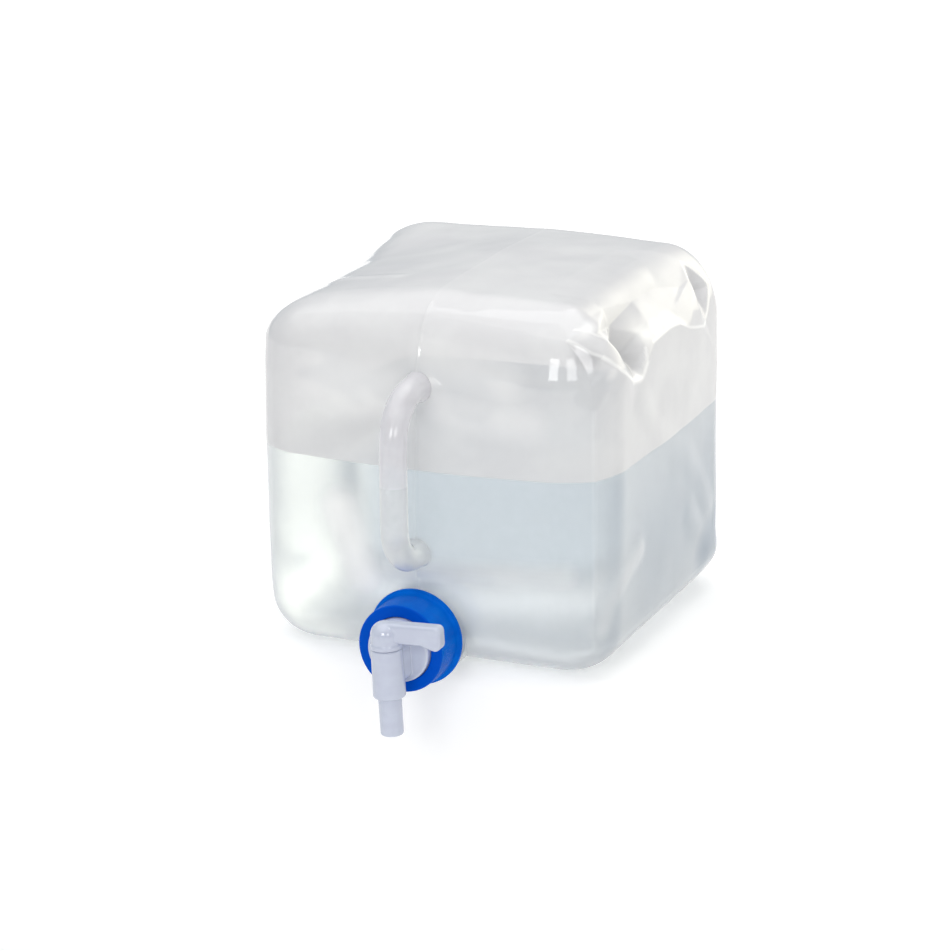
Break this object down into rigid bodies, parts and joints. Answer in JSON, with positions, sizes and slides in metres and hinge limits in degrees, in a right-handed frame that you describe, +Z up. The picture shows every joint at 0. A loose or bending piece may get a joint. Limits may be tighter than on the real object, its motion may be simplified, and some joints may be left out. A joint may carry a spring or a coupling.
{
  "type": "collapsible water carrier",
  "caption": "Folding translucent plastic water cube with a hollow handle on its front, a blue ring screw cap low down and a white turning-lever tap.",
  "frame": {"origin": "centre of the container's flat base", "axes": "+Z up, -Y out of the front with the handle and the tap, +X to the right seen from the front"},
  "size_m": [0.2382, 0.2981, 0.2539],
  "materials": {
    "container": "thin milky translucent blow-moulded polyethylene, glossy",
    "handle": "milky translucent blow-moulded polyethylene, glossy",
    "gasket": "soft white washer",
    "cap": "moulded blue polyethylene, satin gloss",
    "tap": "moulded white polypropylene, slightly waxy gloss"
  },
  "bodies": {
    "back": {"rear_panel": "container", "folding_walls": "container"},
    "front": {"front_panel": "container", "handle": "handle", "neck": "container"},
    "tap": {"tap_body": "tap", "neck_gasket": "gasket"},
    "cap": {"ring_cap": "cap"},
    "key": {"tap_key": "tap"}
  },
  "joints": [
    {"name": "collapse", "type": "slide", "parent": "back", "child": "front", "axis": [0, 1, 0], "range_m": [0, 0.154], "deforming": ["folding_walls"]},
    {"name": "tap_pull_off", "type": "slide", "parent": "front", "child": "tap", "axis": [0, -1, 0], "range_m": [0, 0.012]},
    {"name": "cap_unscrew", "type": "hinge", "parent": "tap", "child": "cap", "pos_m": [0, -0.138, 0.0242], "axis": [0, -1, 0], "range_deg": [0, 1080]},
    {"name": "tap_lever", "type": "hinge", "parent": "tap", "child": "key", "pos_m": [0, -0.168, 0.0242], "axis": [-0.0488, 0, 0.9988], "range_deg": [-90, 0]}
  ],
  "couplings": [
    {"joint": "tap_pull_off", "follows": "cap_unscrew", "m_per_rad": 0.00063662}
  ]
}
